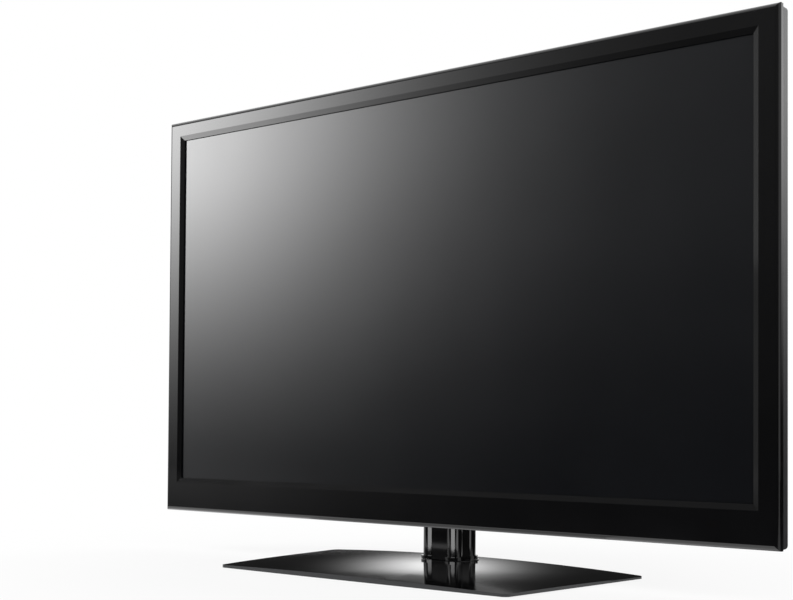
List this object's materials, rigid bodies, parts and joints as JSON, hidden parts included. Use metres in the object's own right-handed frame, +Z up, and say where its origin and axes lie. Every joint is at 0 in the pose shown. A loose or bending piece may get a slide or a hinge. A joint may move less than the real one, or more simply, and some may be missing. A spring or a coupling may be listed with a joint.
{
  "type": "led television",
  "caption": "Flat edge-lit television with a gloss bezel, shallow rear cover with socket bays, wall-mount threads, rear keys, and a short swivelling neck on a domed base.",
  "frame": {"origin": "on the floor, under the middle of the base", "axes": "+X to the viewer's right along the screen, +Y from the screen to the back, +Z up"},
  "size_m": [1, 0.28, 0.67],
  "materials": {
    "bezel_gloss": "high gloss with a faint hairline texture",
    "screen_face": "semi-gloss anti-glare film over the cell",
    "cover_grey": "fine moulded texture",
    "key_plastic": "satin",
    "stand_gloss": "high gloss",
    "window_tint": "dark red tinted gloss",
    "sheet_steel": "zinc plated sheet",
    "fastener_zinc": "bright zinc plate",
    "black_steel": "black powder coat",
    "frame_white": "moulded white",
    "film_white": "smooth diffusing film",
    "guide_clear": "polished clear acrylic",
    "lamp_strip": "white coated strip",
    "board_green": "solder resist",
    "board_tan": "phenolic board",
    "socket_metal": "nickel plated",
    "socket_black": "moulded black",
    "socket_blue": "moulded blue",
    "phono_plastic": "moulded",
    "heat_sink": "extruded",
    "can_aluminium": "sleeved can",
    "ferrite": "ferrite with taped winding",
    "ribbon": "flat flexible cable",
    "wire_jacket": "wires in a sleeve",
    "speaker_plastic": "moulded box",
    "driver_metal": "painted basket",
    "foot_rubber": "ribbed rubber",
    "nylon": "natural nylon"
  },
  "bodies": {
    "base": {"base_cover": "stand_gloss", "base_feet": "foot_rubber", "base_plate": "sheet_steel", "base_screws": "fastener_zinc", "pivot_nut": "fastener_zinc", "pivot_stud": "fastener_zinc", "spring_washer": "fastener_zinc", "swivel_washer": "nylon"},
    "set": {"ac_inlet": "socket_black", "av_jacks": "phono_plastic", "back_chassis": "sheet_steel", "back_cover": "cover_grey", "board_screws": "fastener_zinc", "bracket_screws": "fastener_zinc", "cover_screws": "black_steel", "front_bezel": "bezel_gloss", "hdmi_ports": "socket_metal", "ir_board": "board_green", "ir_window": "window_tint", "key_board": "board_green", "lan_jack": "socket_black", "lcd_cell": "screen_face", "led_bars": "lamp_strip", "light_guide_plate": "guide_clear", "lvds_cable": "ribbon", "main_board": "board_green", "main_heatsink": "heat_sink", "module_front_frame": "black_steel", "module_mid_frame": "frame_white", "neck_collar": "stand_gloss", "neck_column": "stand_gloss", "neck_core": "sheet_steel", "optical_sheets": "film_white", "power_board": "board_tan", "power_capacitors": "can_aluminium", "power_heatsinks": "heat_sink", "power_transformers": "ferrite", "rear_standoffs": "fastener_zinc", "reflector_sheet": "film_white", "shoulder_cover": "cover_grey", "shoulder_screws": "black_steel", "source_boards": "board_green", "source_cables": "ribbon", "speaker_drivers": "driver_metal", "speaker_left": "speaker_plastic", "speaker_right": "speaker_plastic", "stand_bracket": "sheet_steel", "timing_board": "board_green", "tuner_module": "socket_metal", "usb_port": "socket_metal", "vga_port": "socket_blue", "wire_harness": "wire_jacket"},
    "power_button": {"power_button": "key_plastic"},
    "input_button": {"input_button": "key_plastic"},
    "menu_button": {"menu_button": "key_plastic"},
    "ok_button": {"ok_button": "key_plastic"},
    "volume_up_button": {"volume_up_button": "key_plastic"},
    "volume_down_button": {"volume_down_button": "key_plastic"},
    "channel_up_button": {"channel_up_button": "key_plastic"},
    "channel_down_button": {"channel_down_button": "key_plastic"}
  },
  "joints": [
    {"name": "swivel", "type": "hinge", "parent": "base", "child": "set", "pos_m": [0, 0.072, 0], "axis": [0, 0, 1], "range_deg": [-20, 20]},
    {"name": "power_button_press", "type": "slide", "parent": "set", "child": "power_button", "axis": [0, -1, 0], "range_m": [0, 0.0008], "stiffness_N_per_m": 400},
    {"name": "input_button_press", "type": "slide", "parent": "set", "child": "input_button", "axis": [0, -1, 0], "range_m": [0, 0.0008], "stiffness_N_per_m": 400},
    {"name": "menu_button_press", "type": "slide", "parent": "set", "child": "menu_button", "axis": [0, -1, 0], "range_m": [0, 0.0008], "stiffness_N_per_m": 400},
    {"name": "ok_button_press", "type": "slide", "parent": "set", "child": "ok_button", "axis": [0, -1, 0], "range_m": [0, 0.0008], "stiffness_N_per_m": 400},
    {"name": "volume_up_button_press", "type": "slide", "parent": "set", "child": "volume_up_button", "axis": [0, -1, 0], "range_m": [0, 0.0008], "stiffness_N_per_m": 400},
    {"name": "volume_down_button_press", "type": "slide", "parent": "set", "child": "volume_down_button", "axis": [0, -1, 0], "range_m": [0, 0.0008], "stiffness_N_per_m": 400},
    {"name": "channel_up_button_press", "type": "slide", "parent": "set", "child": "channel_up_button", "axis": [0, -1, 0], "range_m": [0, 0.0008], "stiffness_N_per_m": 400},
    {"name": "channel_down_button_press", "type": "slide", "parent": "set", "child": "channel_down_button", "axis": [0, -1, 0], "range_m": [0, 0.0008], "stiffness_N_per_m": 400}
  ]
}
